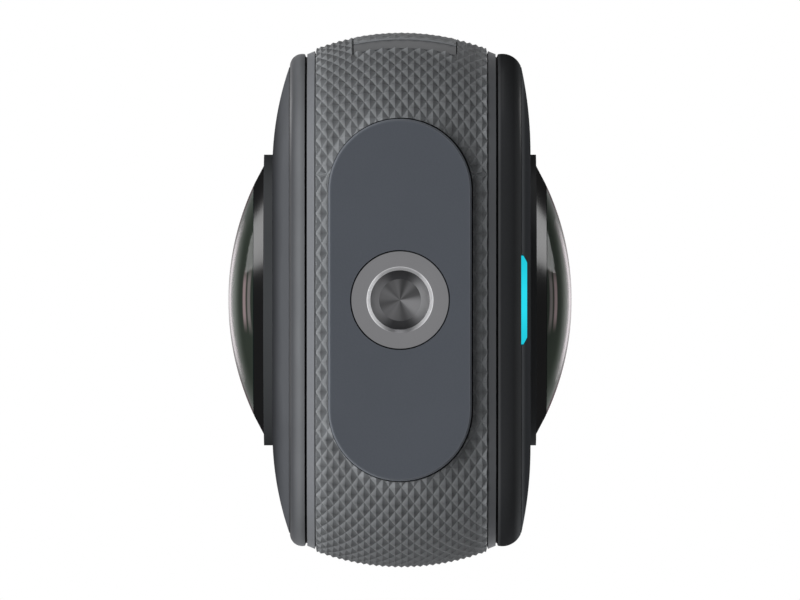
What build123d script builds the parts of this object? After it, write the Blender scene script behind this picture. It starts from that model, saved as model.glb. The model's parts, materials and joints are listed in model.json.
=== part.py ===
from build123d import *
from math import sqrt
import os

# Slim 360 degree camera with a lens on each face, standing on its battery's foot.
# X is the width, Y the depth with the screen side at -Y, Z the length.
# The origin is on the foot's face, on the axis of the tripod socket.

# Body, over the tips of the knurling
body_width = 46.2
body_height = 113.0
body_corner_radius = 12.6
foot_proud = 0.3
crown_radius = 20.75

# Band round the sides
front_seam = 8.25
rear_seam = 8.0
band_wall = 3.6
rim_width = 0.65
skin_thickness = 0.7
smooth_recess = 0.2
knurl_depth = 0.22
seam_gap = 0.2
gasket_recess = 0.25

# Frames that carry the covers
front_shoulder = 9.45
rear_shoulder = 8.9
shoulder_inset = 1.95
lip_inset = 2.88
front_lip = 10.42
rear_lip = 9.5
front_ledge = 9.3
rear_ledge = 8.66
ledge_inset = 7.4

# Domed covers
front_face = 11.27
rear_face = 11.02
cover_gap = 0.12
front_dome_reach = 7.3
rear_dome_reach = 8.6
front_dome_drop = 0.79
rear_dome_drop = 1.46
front_cover_wall = 1.4
rear_cover_wall = 1.2
cover_rim_wall = 0.9
cover_land = 1.8

# Lenses
lens_drop = 24.0
lens_apex = 15.41
ring_radius = 13.05
ring_face = 12.2
ring_bore = 12.14
ring_skirt_radius = 12.45
ring_wall = 0.75
ring_shelf = 11.5
pip_width = 1.0
pip_reach = 0.25
pip_height = 0.35
bezel_top = 13.1
dome_radius = 10.27
dome_curve = 24.4
dome_glass = 1.5
dome_seat = 12.0
dome_bowl = 6.9
barrel_mouth = 9.3
barrel_flange_radius = 12.3
barrel_flange = 0.8
barrel_foot = 2.3
inner_lens_radius = 6.6
inner_lens_curve = 8.0
inner_lens_apex = 12.9
inner_lens_seat = 9.2
inner_lens_glass = 1.6
inner_lens_bowl = 5.0
cone_foot = 9.9
relay_radius = 5.15
relay_seat = 4.6
relay_rim = 1.0
relay_crown = 1.8
barrel_throat = 4.2
sensor_half = 3.5
sensor_thickness = 0.8
board_half = 8.0
sensor_plate_half = 12.4
sensor_plate_thickness = 0.9
carrier_half_depth = 8.0

# Battery, its foot and bay
foot_margin = 7.55
foot_depth = 12.3
foot_thickness = 3.0
foot_edge = 0.15
foot_clearance = 0.12
case_relief = 0.2
case_drop = 28.0
case_wall = 0.85
case_end_wall = 2.45
case_cap = 1.2
bay_clearance = 0.15
bay_wall = 0.75
bay_room = 1.5
deck_thickness = 1.2
cell_gap = 0.25
battery_board_thickness = 0.8
contact_spacing = 2.2
contact_count = 5
contact_width = 1.4
contact_length = 2.6
contact_thickness = 0.1
contact_block_gap = 0.25
seal_height = 0.8
seal_groove = 0.7
seal_level = 1.6

# Tripod socket, a quarter inch thread twenty to the inch
thread_radius = 2.55
thread_length = 5.7
drill_radius = 1.8
drill_depth = 1.1
socket_radius = 4.225
socket_pocket_gap = 0.06
socket_recess = 0.2
socket_floor = 0.7
socket_chamfer = 0.27

# Battery latch in the low corner of the side at -X
latch_width = 8.84
latch_middle = -0.42
latch_low = 7.55
latch_grip = 9.6
latch_high = 14.4
latch_gap = 0.12
latch_travel = 0.8
latch_stop_inset = 3.0
latch_back_inset = 3.8
latch_ear = 0.7
tongue_width = 5.0
tongue_height = 1.5
tongue_bite = 0.55
groove_depth = 1.5
spring_radius = 0.55
spring_wire = 0.14
spring_pitch = 0.62
spring_spread = 3.55

# Chassis
rail_width = 3.6
rail_low = 18.0
rail_drop = 17.0
lens_deck_drop = 16.0
joint_gap = 0.1

# Screws
screw_inset = 6.1
screw_low = 20.5
screw_drop = 19.0
screw_radius = 0.75
screw_head_radius = 1.2
screw_head = 0.42
screw_length = 5.0
screw_gap = 0.05
driver_radius = 0.45
driver_depth = 0.25

# Screen and buttons
screen_rise = 0.79
screen_radius = 15.5
screen_glass_thickness = 0.8
screen_gap = 0.1
display_radius = 14.6
display_thickness = 1.4
shutter_share = 0.19
shutter_radius = 5.0
shutter_recess = 0.12
shutter_dish = 0.35
shutter_flange = 0.9
flange_thickness = 0.5
button_gap = 0.1
button_travel = 0.35
power_rise = 0.4
power_length = 10.0
power_width = 4.2
power_flange = 0.6
power_seat_inset = 3.1
switch_radius = 1.0
switch_body = 3.2

# Status light in the low edge of the front cover
light_width = 7.62
light_high = 5.85
light_gap = 0.1
light_slant = 2.0
light_taper = 0.6
light_foot = 8.6
led_width = 5.0
led_height = 1.2

# Charging door and socket in the side at -X
door_below = 7.6
door_above = 8.8
door_half = 5.4
door_gap = 0.1
door_thickness = 2.2
door_pivot_inset = 1.6
knuckle_radius = 1.3
knuckle_half = 3.4
knuckle_room = 0.4
lug_drop = 0.8
lug_gap = 0.75
pin_radius = 0.35
pin_half = 4.6
pin_gap = 0.03
usb_rise = 9.9
usb_length = 8.94
usb_depth = 3.26
usb_shell = 0.3
usb_body = 7.3
usb_mouth_inset = 3.5
usb_tongue = 0.7
usb_tongue_length = 6.2
usb_tongue_share = 0.72
usb_floor = 1.1
plug_gap = 0.3
plug_margin = 0.4

# Boards and small parts
board_thickness = 0.8
main_board_margin = 7.6
main_board_low = 4.2
main_board_drop = 1.0
shield_half = 9.0
shield_length = 8.6
shield_depth = 1.8
card_half = 5.6
card_slot_wall = 0.6
card_slot_length = 14.5
card_gap = 0.9
card_slot_back = 0.7
spreader_thickness = 0.5
spreader_half = 9.0
spreader_low = 12.0
speaker_half = 4.8
speaker_length = 13.6
speaker_share = 0.2655
speaker_clearance = 0.05
speaker_gap = 0.1
speaker_hole = 0.5
speaker_hole_pitch = 2.0
speaker_hole_count = 5
mic_spread = 8.2
mic_length = 3.5
mic_width = 2.7
mic_height = 1.05
mic_hole = 0.45
antenna_half = 5.0
antenna_depth = 3.5
antenna_thickness = 0.4
usb_board_length = 10.4
cut_overrun = 3.0

# Values worked out from the sizes above
half_width = body_width / 2
crest_height = body_height - foot_proud
mid_height = foot_proud + crest_height / 2
band_mid = (rear_seam - front_seam) / 2
inner_half = half_width - band_wall
inner_low = foot_proud + band_wall
inner_high = body_height - band_wall
cover_inset = lip_inset + cover_gap
lens_height = body_height - lens_drop
lens_deck = lens_height - lens_deck_drop
case_height = lens_deck - case_drop
bay_depth = case_height + bay_room
foot_length = body_width - 2 * foot_margin
bay_half = foot_depth / 2 + bay_clearance
bay_outer = bay_half + bay_wall
bay_length = foot_length + 2 * bay_clearance
front_frame_foot = front_seam + seam_gap
rear_frame_foot = rear_seam + seam_gap
case_depth = foot_depth - 2 * case_relief
case_length = foot_length - 2 * case_relief
socket_top = socket_recess + thread_length + drill_depth + socket_floor
cell_low = socket_top + case_cap
ceiling = bay_depth + deck_thickness
rail_inner = inner_half - rail_width
rail_high = body_height - rail_drop
screw_high = body_height - screw_drop
latch_front = latch_middle - latch_width / 2
latch_rear = latch_middle + latch_width / 2
latch_stop = half_width - latch_stop_inset
latch_back = half_width - latch_back_inset
tongue_reach = case_length / 2 - tongue_bite
tongue_low = cell_low + latch_gap
tongue_high = tongue_low + tongue_height
shutter_height = shutter_share * body_height
screen_height = (shutter_height + shutter_radius + lens_height - ring_radius) / 2 + screen_rise
usb_height = ceiling + usb_rise
usb_mouth = half_width - usb_mouth_inset
usb_board_reach = inner_half - joint_gap - usb_board_length
door_low = usb_height - door_below
door_high = usb_height + door_above
door_inner = half_width - door_thickness
power_height = usb_height + power_rise
power_seat = half_width - power_seat_inset
main_board_half = half_width - main_board_margin
main_board_high = lens_deck - main_board_drop
shield_low = main_board_high - shield_length
speaker_height = speaker_share * body_height
speaker_low = speaker_height - speaker_length / 2
speaker_high = speaker_height + speaker_length / 2
speaker_inner = bay_length / 2 + bay_wall + speaker_clearance


def crown_point(y, depth):
    # a point of the band's crowned outside at the base, some depth below the surface
    return y, foot_proud + crown_radius - sqrt((crown_radius - depth) ** 2 - (y - band_mid) ** 2)


def crest_loop():
    # rounded rectangle along the crest of the band, once round the camera
    turn_x = half_width - body_corner_radius
    turn_low = foot_proud + body_corner_radius
    turn_high = body_height - body_corner_radius
    with BuildLine(Plane.XZ) as loop:
        Line((0, foot_proud), (turn_x, foot_proud))
        CenterArc((turn_x, turn_low), body_corner_radius, -90, 90)
        Line((half_width, turn_low), (half_width, turn_high))
        CenterArc((turn_x, turn_high), body_corner_radius, 0, 90)
        Line((turn_x, body_height), (-turn_x, body_height))
        CenterArc((-turn_x, turn_high), body_corner_radius, 90, 90)
        Line((-half_width, turn_high), (-half_width, turn_low))
        CenterArc((-turn_x, turn_low), body_corner_radius, 180, 90)
        Line((-turn_x, foot_proud), (0, foot_proud))
    return loop.wire()


crest_path = crest_loop()


def rounded_slab(inset, low_y, high_y):
    # slab with the camera's rounded outline, some inset inside the crest
    with BuildPart() as slab:
        with BuildSketch(Plane.XZ.offset(-low_y)):
            with Locations((0, mid_height)):
                RectangleRounded(body_width - 2 * inset, crest_height - 2 * inset,
                                 body_corner_radius - inset)
        extrude(amount=low_y - high_y)
    return slab.part


def slot_column(length, depth, low, high):
    # upright column with round ends
    with BuildPart() as column:
        with BuildSketch(Plane.XY.offset(low)):
            SlotOverall(length, depth)
        extrude(amount=high - low)
    return column.part


def side_slot(length, width, height, low_x, high_x):
    # oblong block through a side, its long way upright
    with BuildPart() as oblong:
        with BuildSketch(Plane.YZ.offset(low_x)):
            with Locations((0, height)):
                SlotOverall(length, width, rotation=90)
        extrude(amount=high_x - low_x)
    return oblong.part


def block(low, high, mode=Mode.ADD):
    # box between two corners
    middle = [(a + b) / 2 for a, b in zip(low, high)]
    with Locations(tuple(middle)):
        Box(high[0] - low[0], high[1] - low[1], high[2] - low[2], mode=mode)


def rod_y(radius, x, z, low_y, high_y, mode=Mode.ADD):
    # round bar along the depth
    with Locations((x, (low_y + high_y) / 2, z)):
        Cylinder(radius, high_y - low_y, rotation=(90, 0, 0), mode=mode)


def band_ring(depth):
    # closed ring of the band's section, its outside some depth below the crest
    with BuildPart() as ring:
        with BuildSketch(Plane.YZ):
            with BuildLine():
                ThreePointArc(crown_point(-front_seam, depth), crown_point(band_mid, depth),
                              crown_point(rear_seam, depth))
                Polyline(crown_point(rear_seam, depth), (rear_seam, inner_low),
                         (-front_seam, inner_low), crown_point(-front_seam, depth))
            make_face()
        sweep(path=crest_path)
    return ring.part


def light_block(gap, low_y, high_y):
    # block for the status light or, with a gap, for its opening; it narrows above its shoulders
    half = light_width / 2 + gap
    foot = foot_proud + cover_inset - gap
    shoulder = light_high - light_slant
    with BuildPart() as guide:
        with BuildSketch(Plane.XZ.offset(-high_y)):
            with BuildLine():
                Polyline((-half, foot), (-half, shoulder), (-half + light_taper, light_high + gap),
                         (half - light_taper, light_high + gap), (half, shoulder), (half, foot), close=True)
            make_face()
        extrude(amount=high_y - low_y)
    return guide.part


def cover_blank(side, face, reach, drop, inner_points):
    # domed cover: an edge swept round the outline, and a flat middle
    edge = foot_proud + cover_inset
    flat = edge + reach
    inner = [(side * y, foot_proud + inset) for inset, y in inner_points]
    with BuildPart() as blank:
        with BuildSketch(Plane.YZ):
            with BuildLine():
                ThreePointArc((side * (face - drop), edge), (side * (face - drop / 4), edge + reach / 2),
                              (side * face, flat))
                Polyline((side * face, flat), *inner, (side * (face - drop), edge))
            make_face()
        sweep(path=crest_path)
    low, high = sorted((side * inner_points[0][1], side * face))
    middle = rounded_slab(cover_inset + reach, low, high)
    with BuildPart() as cover:
        add(blank.part)
        add(middle)
    return cover.part


pieces = {}
full_ring = band_ring(0)
smooth_ring = band_ring(smooth_recess)
knurl_bed = band_ring(knurl_depth)
interior = rounded_slab(band_wall, -front_frame_foot, rear_frame_foot)
foot_opening = slot_column(foot_length + 2 * foot_clearance, foot_depth + 2 * foot_clearance,
                           -cut_overrun, inner_low + cut_overrun)
power_x = power_seat + flange_thickness
power_hole = side_slot(power_length + 2 * button_gap, power_width + 2 * button_gap, power_height,
                       inner_half - cut_overrun, half_width + cut_overrun)
power_pocket = side_slot(power_length + 2 * power_flange + 2 * button_gap,
                         power_width + 2 * power_flange + 2 * button_gap, power_height,
                         inner_half - cut_overrun, power_x + button_gap)
pivot_x = -(half_width - door_pivot_inset)
door_top = door_high + knuckle_radius + knuckle_room
usb_hole = side_slot(usb_length + 2 * plug_margin, usb_depth + 2 * plug_margin, usb_height,
                     -half_width, -inner_half + cut_overrun)
light_opening = light_block(light_gap, -front_face - cut_overrun, -front_seam)


def side_openings():
    # openings that go through the band and its skin alike
    add(foot_opening, mode=Mode.SUBTRACT)
    add(power_hole, mode=Mode.SUBTRACT)
    block((-half_width - cut_overrun, latch_front - latch_gap, latch_low - latch_gap),
          (-half_width + 2 * band_wall, latch_rear + latch_gap, latch_high + latch_gap), Mode.SUBTRACT)
    block((-half_width - cut_overrun, -door_half - door_gap, door_low - door_gap),
          (-door_inner + door_gap, door_half + door_gap, door_high - lug_drop), Mode.SUBTRACT)
    block((-half_width - cut_overrun, -knuckle_half - door_gap, door_low - door_gap),
          (-door_inner + door_gap, knuckle_half + door_gap, door_top), Mode.SUBTRACT)
    for index in range(speaker_hole_count):
        rise = (index - (speaker_hole_count - 1) / 2) * speaker_hole_pitch
        with Locations((half_width, 0, speaker_height + rise)):
            Cylinder(speaker_hole, 2 * band_wall + cut_overrun, rotation=(0, 90, 0), mode=Mode.SUBTRACT)
    for x in (-mic_spread, mic_spread):
        with Locations((x, 0, body_height)):
            Cylinder(mic_hole, 2 * band_wall + cut_overrun, mode=Mode.SUBTRACT)


# Rigid band, with a smooth rim along each seam and a bed for the skin between them
rim_front = -front_seam + rim_width
rim_rear = rear_seam - rim_width
with BuildPart() as mid_frame:
    with BuildSketch(Plane.YZ):
        with BuildLine():
            ThreePointArc(crown_point(rim_front, skin_thickness), crown_point(band_mid, skin_thickness),
                          crown_point(rim_rear, skin_thickness))
            Line(crown_point(rim_rear, skin_thickness), crown_point(rim_rear, smooth_recess))
            Line(crown_point(rim_rear, smooth_recess), crown_point(rear_seam, smooth_recess))
            Polyline(crown_point(rear_seam, smooth_recess), (rear_seam, inner_low), (-front_seam, inner_low),
                     crown_point(-front_seam, smooth_recess))
            Line(crown_point(-front_seam, smooth_recess), crown_point(rim_front, smooth_recess))
            Line(crown_point(rim_front, smooth_recess), crown_point(rim_front, skin_thickness))
        make_face()
    sweep(path=crest_path)
    side_openings()
    add(power_pocket, mode=Mode.SUBTRACT)
    add(usb_hole, mode=Mode.SUBTRACT)
    block((-latch_stop - latch_gap, latch_front - latch_ear - latch_gap, latch_low - latch_gap),
          (-rail_inner, latch_rear + latch_ear + latch_gap, latch_high + latch_gap), Mode.SUBTRACT)
    block((pivot_x, -knuckle_half - door_gap, door_high - knuckle_radius - door_gap),
          (pivot_x + knuckle_radius + door_gap, knuckle_half + door_gap, door_top), Mode.SUBTRACT)
    with Locations((pivot_x, 0, door_high)):
        Cylinder(pin_radius, 2 * pin_half + 2 * door_gap, rotation=(90, 0, 0), mode=Mode.SUBTRACT)
    add(full_ring, mode=Mode.INTERSECT)
pieces["mid_frame"] = mid_frame

# Knurled rubber skin in the band's bed
with BuildPart() as grip_skin:
    with BuildSketch(Plane.YZ):
        with BuildLine():
            ThreePointArc(crown_point(rim_front, 0), crown_point(band_mid, 0), crown_point(rim_rear, 0))
            Line(crown_point(rim_rear, 0), crown_point(rim_rear, skin_thickness))
            ThreePointArc(crown_point(rim_rear, skin_thickness), crown_point(band_mid, skin_thickness),
                          crown_point(rim_front, skin_thickness))
            Line(crown_point(rim_front, skin_thickness), crown_point(rim_front, 0))
        make_face()
    sweep(path=crest_path)
    side_openings()
pieces["grip_skin"] = grip_skin

# Seals, frames and covers of both faces
front_values = ("front", -1, front_seam, front_shoulder, front_lip, front_ledge, front_face,
                front_dome_reach, front_dome_drop, front_cover_wall)
rear_values = ("rear", 1, rear_seam, rear_shoulder, rear_lip, rear_ledge, rear_face,
               rear_dome_reach, rear_dome_drop, rear_cover_wall)
screw_x = half_width - screw_inset
screw_places = [(x, z) for x in (-screw_x, screw_x) for z in (screw_low, screw_high)]
for name, side, seam, shoulder, lip, ledge, face, reach, drop, wall in (front_values, rear_values):
    foot = seam + seam_gap
    seam_level = crown_point(side * seam, smooth_recess)[1]
    with BuildPart() as gasket:
        with BuildSketch(Plane.YZ):
            with BuildLine():
                gasket_level = seam_level + gasket_recess
                Polyline((side * seam, gasket_level), (side * foot, gasket_level), (side * foot, inner_low),
                         (side * seam, inner_low), close=True)
            make_face()
        sweep(path=crest_path)
    pieces[name + "_gasket"] = gasket

    with BuildPart() as frame:
        with BuildSketch(Plane.YZ):
            with BuildLine():
                ThreePointArc((side * foot, seam_level), (side * shoulder, foot_proud + shoulder_inset),
                              (side * lip, foot_proud + lip_inset))
                Polyline((side * lip, foot_proud + lip_inset), (side * ledge, foot_proud + lip_inset),
                         (side * ledge, foot_proud + ledge_inset), (side * foot, foot_proud + ledge_inset),
                         (side * foot, seam_level))
            make_face()
        sweep(path=crest_path)
        for x, z in screw_places:
            rod_y(screw_radius + screw_gap, x, z, -front_face, rear_face, Mode.SUBTRACT)
        if name == "front":
            add(light_opening, mode=Mode.SUBTRACT)
    pieces[name + "_frame"] = frame

    land_end = cover_inset + cover_land
    land_top = face - drop * ((reach - cover_land) / reach) ** 2 - cover_rim_wall
    blank = cover_blank(side, face, reach, drop,
                        [(cover_inset + reach, face - wall), (land_end, land_top), (land_end, ledge),
                         (cover_inset, ledge)])
    low, high = sorted((side * (face - wall), side * face))
    with BuildPart() as cover:
        add(blank)
        rod_y(ring_radius + ring_wall, 0, lens_height, low, high)
        rod_y(ring_skirt_radius + joint_gap, 0, lens_height, low - cut_overrun, high + cut_overrun,
              Mode.SUBTRACT)
        if name == "front":
            rod_y(screen_radius + ring_wall, 0, screen_height, low, high)
            rod_y(display_radius + screen_gap, 0, screen_height, low - cut_overrun, high + cut_overrun,
                  Mode.SUBTRACT)
            rod_y(screen_radius + screen_gap, 0, screen_height, low, low + screen_glass_thickness,
                  Mode.SUBTRACT)
            rod_y(shutter_radius + button_gap, 0, shutter_height, low - cut_overrun, high + cut_overrun,
                  Mode.SUBTRACT)
            add(light_opening, mode=Mode.SUBTRACT)
    pieces[name + "_panel"] = cover

# Screws that hold the frames to the chassis rails
with BuildPart() as frame_screws:
    for x, z in screw_places:
        for side, ledge in ((-1, front_ledge), (1, rear_ledge)):
            head_low, head_high = sorted((side * ledge, side * (ledge + screw_head)))
            shank_low, shank_high = sorted((side * ledge, side * (ledge - screw_length)))
            head_top = ledge + screw_head
            cut_low, cut_high = sorted((side * (head_top - driver_depth), side * head_top))
            rod_y(screw_head_radius, x, z, head_low, head_high)
            rod_y(screw_radius, x, z, shank_low, shank_high)
            rod_y(driver_radius, x, z, cut_low, cut_high, Mode.SUBTRACT)
pieces["frame_screws"] = frame_screws

# Chassis: battery bay with its ceiling, side rails and the lens deck
bay_column = slot_column(bay_length + 2 * bay_wall, 2 * bay_outer, inner_low, ceiling)
bay_hollow = slot_column(bay_length, 2 * bay_half, inner_low - cut_overrun, bay_depth)
card_low_y = -bay_outer + card_slot_back
usb_board_y = usb_depth / 2
with BuildPart() as inner_chassis:
    add(bay_column)
    for side in (-1, 1):
        low, high = sorted((side * rail_inner, side * inner_half))
        block((low, -front_frame_foot, rail_low), (high, rear_frame_foot, rail_high))
    for deck in (bay_depth, lens_deck):
        block((-inner_half, -bay_outer, deck), (inner_half, bay_outer, deck + deck_thickness))
    add(interior, mode=Mode.INTERSECT)
    add(bay_hollow, mode=Mode.SUBTRACT)
    block((-card_half, card_low_y, bay_depth), (card_half, card_low_y + card_gap, ceiling), Mode.SUBTRACT)
    block((-inner_half, -tongue_width / 2 - latch_gap, tongue_low - latch_gap),
          (-tongue_reach, tongue_width / 2 + latch_gap, tongue_high + latch_gap), Mode.SUBTRACT)
    usb_room = usb_length / 2 + 2 * plug_margin
    block((-inner_half, -usb_depth / 2 - plug_margin, usb_height - usb_room),
          (-rail_inner, usb_board_y + board_thickness + joint_gap, usb_height + usb_room), Mode.SUBTRACT)
    block((speaker_inner - speaker_gap, -speaker_half - speaker_gap, speaker_low - speaker_gap),
          (inner_half, speaker_half + speaker_gap, speaker_high + speaker_gap), Mode.SUBTRACT)
    block((inner_half - switch_body / 3 - joint_gap, -switch_body / 2 - joint_gap,
           power_height - switch_body - joint_gap),
          (inner_half, switch_body / 2 + joint_gap, power_height + switch_body + joint_gap), Mode.SUBTRACT)
    for x, z in screw_places:
        for side, ledge in ((-1, front_ledge), (1, rear_ledge)):
            low, high = sorted((side * (ledge - screw_length - joint_gap), side * ledge))
            rod_y(screw_radius + screw_gap / 2, x, z, low, high, Mode.SUBTRACT)
pieces["inner_chassis"] = inner_chassis

# Battery foot: the oblong plate under the camera, with a groove for its seal
with BuildPart() as battery_foot:
    with BuildSketch():
        SlotOverall(foot_length, foot_depth)
    extrude(amount=foot_thickness)
    chamfer(battery_foot.faces().sort_by(Axis.Z)[0].outer_wire().edges(), foot_edge)
    with BuildSketch(Plane.XY.offset(seal_level)):
        SlotOverall(foot_length, foot_depth)
        SlotOverall(foot_length - 2 * seal_groove, foot_depth - 2 * seal_groove, mode=Mode.SUBTRACT)
    extrude(amount=seal_height, mode=Mode.SUBTRACT)
    with BuildSketch():
        Circle(socket_radius + socket_pocket_gap)
    extrude(amount=foot_thickness, mode=Mode.SUBTRACT)
pieces["battery_foot"] = battery_foot

with BuildPart() as battery_seal:
    with BuildSketch(Plane.XY.offset(seal_level)):
        SlotOverall(foot_length + foot_clearance, foot_depth + foot_clearance)
        SlotOverall(foot_length - 2 * seal_groove, foot_depth - 2 * seal_groove, mode=Mode.SUBTRACT)
    extrude(amount=seal_height)
pieces["battery_seal"] = battery_seal

# Threaded insert for a tripod screw
with BuildPart() as tripod_socket:
    with BuildSketch(Plane.XZ):
        with BuildLine():
            Polyline((thread_radius + socket_chamfer, socket_recess), (socket_radius, socket_recess),
                     (socket_radius, socket_top), (0, socket_top), (0, socket_top - socket_floor),
                     (drill_radius, socket_top - socket_floor),
                     (drill_radius, socket_recess + thread_length),
                     (thread_radius, socket_recess + thread_length),
                     (thread_radius, socket_recess + socket_chamfer), close=True)
        make_face()
    revolve(axis=Axis.Z)
pieces["tripod_socket"] = tripod_socket

# Battery case, its cell, protection board and contact pads
cell_high = case_height - case_cap
with BuildPart() as battery_case:
    with BuildSketch(Plane.XY.offset(foot_thickness)):
        SlotOverall(case_length, case_depth)
    extrude(amount=case_height - foot_thickness)
    with BuildSketch(Plane.XY.offset(cell_low)):
        SlotOverall(case_length - 2 * case_end_wall, case_depth - 2 * case_wall)
    extrude(amount=cell_high - cell_low, mode=Mode.SUBTRACT)
    with BuildSketch(Plane.XY.offset(foot_thickness)):
        Circle(socket_radius + socket_pocket_gap)
    extrude(amount=socket_top - foot_thickness, mode=Mode.SUBTRACT)
    block((-foot_length / 2, -case_depth / 2, cell_low),
          (-case_length / 2 + groove_depth, case_depth / 2, case_height), Mode.SUBTRACT)
pieces["battery_case"] = battery_case

with BuildPart() as battery_cell:
    with BuildSketch(Plane.XY.offset(cell_low)):
        SlotOverall(case_length - 2 * case_end_wall - 2 * cell_gap, case_depth - 2 * case_wall - 2 * cell_gap)
    extrude(amount=cell_high - cell_low - battery_board_thickness - cell_gap)
pieces["battery_cell"] = battery_cell

with BuildPart() as battery_board:
    with BuildSketch(Plane.XY.offset(cell_high - battery_board_thickness)):
        SlotOverall(case_length - 2 * case_end_wall - 2 * cell_gap, case_depth - 2 * case_wall - 2 * cell_gap)
    extrude(amount=battery_board_thickness)
pieces["battery_board"] = battery_board

contact_span = (contact_count - 1) * contact_spacing
with BuildPart() as battery_contacts:
    with Locations((0, 0, case_height)):
        with GridLocations(contact_spacing, contact_spacing, contact_count, 1):
            Box(contact_width, contact_length, contact_thickness,
                align=(Align.CENTER, Align.CENTER, Align.MIN))
pieces["battery_contacts"] = battery_contacts

with BuildPart() as bay_contacts:
    block((-contact_span / 2 - contact_spacing, -contact_length / 2,
           case_height + contact_thickness + contact_block_gap),
          (contact_span / 2 + contact_spacing, contact_length / 2, bay_depth))
pieces["bay_contacts"] = bay_contacts

# Latch: a push pad in the band, its upper part sunk for knurling, with a tongue into the battery's groove
with BuildPart() as latch_knurl_bed:
    block((-half_width - cut_overrun, latch_front, latch_grip), (-latch_back, latch_rear, latch_high))
    add(knurl_bed, mode=Mode.INTERSECT)
with BuildPart() as battery_latch:
    block((-half_width - cut_overrun, latch_front, latch_low), (-latch_back, latch_rear, latch_grip))
    add(smooth_ring, mode=Mode.INTERSECT)
    add(latch_knurl_bed.part)
    block((-latch_stop, latch_front - latch_ear, latch_low),
          (-latch_back, latch_rear + latch_ear, latch_high))
    block((-latch_back, -tongue_width / 2, tongue_low), (-tongue_reach, tongue_width / 2, tongue_high))
pieces["battery_latch"] = battery_latch

spring_height = (tongue_low + tongue_high) / 2
bay_turn = bay_length / 2 + bay_wall - bay_outer
spring_seat = bay_turn + sqrt(bay_outer ** 2 - (spring_spread - spring_radius) ** 2)
spring_run = latch_back - latch_travel - joint_gap - spring_seat - 2 * spring_wire
with BuildPart() as latch_spring:
    for side in (-1, 1):
        with BuildLine():
            coil = Helix(pitch=spring_pitch, height=spring_run, radius=spring_radius,
                         center=(-spring_seat - spring_wire, side * spring_spread, spring_height),
                         direction=(-1, 0, 0))
        with BuildSketch(Plane(origin=coil @ 0, z_dir=coil % 0)):
            Circle(spring_wire)
        sweep(path=coil, is_frenet=True)
pieces["latch_spring"] = latch_spring

# Round screen
screen_back = front_face - screen_glass_thickness
with BuildPart() as screen_glass:
    rod_y(screen_radius, 0, screen_height, -front_face, -screen_back)
pieces["screen_glass"] = screen_glass

with BuildPart() as display_module:
    rod_y(display_radius, 0, screen_height, -screen_back, -screen_back + display_thickness)
pieces["display_module"] = display_module

# Shutter button, dished, with a flange behind the cover
front_board_face = bay_outer + board_thickness
flange_front = front_face - front_cover_wall - joint_gap / 2
flange_back = flange_front - flange_thickness
with BuildPart() as shutter_button:
    rod_y(shutter_radius, 0, shutter_height, -front_face + shutter_recess, -flange_back)
    rod_y(shutter_radius + shutter_flange, 0, shutter_height, -flange_front, -flange_back)
    dish_curve = (shutter_radius ** 2 + shutter_dish ** 2) / (2 * shutter_dish)
    with Locations((0, -front_face + shutter_recess + shutter_dish - dish_curve, shutter_height)):
        Sphere(dish_curve, mode=Mode.SUBTRACT)
pieces["shutter_button"] = shutter_button

plunger_top = flange_back - button_travel - joint_gap
with BuildPart() as shutter_switch:
    block((-switch_body / 2, -(front_board_face + plunger_top) / 2, shutter_height - switch_body / 2),
          (switch_body / 2, -front_board_face, shutter_height + switch_body / 2))
    rod_y(switch_radius, 0, shutter_height, -plunger_top, -front_board_face)
pieces["shutter_switch"] = shutter_switch

# Power button in the side at +X
power_body = side_slot(power_length, power_width, power_height, power_x, half_width + cut_overrun)
power_plate = side_slot(power_length + 2 * power_flange, power_width + 2 * power_flange, power_height,
                        power_seat, power_x)
with BuildPart() as power_button:
    add(power_body)
    add(smooth_ring, mode=Mode.INTERSECT)
    add(power_plate)
pieces["power_button"] = power_button

with BuildPart() as power_switch:
    block((inner_half - switch_body / 3, -switch_body / 2, power_height - switch_body),
          (inner_half - joint_gap, switch_body / 2, power_height + switch_body))
    with Locations((inner_half - joint_gap, 0, power_height)):
        Cylinder(switch_radius, power_seat - button_travel - joint_gap - inner_half + joint_gap,
                 rotation=(0, 90, 0), align=(Align.CENTER, Align.CENTER, Align.MIN))
pieces["power_switch"] = power_switch

# Status light: a light guide flush with the cover's low edge, and its lamp
light_envelope = cover_blank(-1, front_face, front_dome_reach, front_dome_drop,
                             [(cover_inset + front_dome_reach, light_foot), (cover_inset, light_foot)])
light_guide = light_block(0, -front_face, -light_foot)
with BuildPart() as status_light:
    add(light_guide)
    add(light_envelope, mode=Mode.INTERSECT)
pieces["status_light"] = status_light

light_middle = (foot_proud + cover_inset + light_high) / 2
with BuildPart() as status_led:
    block((-led_width / 2, -light_foot, light_middle),
          (led_width / 2, -front_board_face, light_middle + led_height))
pieces["status_led"] = status_led

# Charging door, hinged along its top edge
with BuildPart() as usb_door:
    block((-half_width - cut_overrun, -door_half, door_low), (-door_inner, door_half, door_high))
    add(knurl_bed, mode=Mode.INTERSECT)
    block((-half_width - cut_overrun, knuckle_half, door_high - lug_drop - lug_gap),
          (-door_inner, door_half + door_gap, door_high), Mode.SUBTRACT)
    block((-half_width - cut_overrun, -door_half - door_gap, door_high - lug_drop - lug_gap),
          (-door_inner, -knuckle_half, door_high), Mode.SUBTRACT)
    with Locations((pivot_x, 0, door_high)):
        Cylinder(knuckle_radius, 2 * knuckle_half, rotation=(90, 0, 0))
        Cylinder(pin_radius + pin_gap, 2 * knuckle_half + cut_overrun, rotation=(90, 0, 0),
                 mode=Mode.SUBTRACT)
pieces["usb_door"] = usb_door

with BuildPart() as usb_door_pin:
    with Locations((pivot_x, 0, door_high)):
        Cylinder(pin_radius, 2 * pin_half, rotation=(90, 0, 0))
pieces["usb_door_pin"] = usb_door_pin

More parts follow.
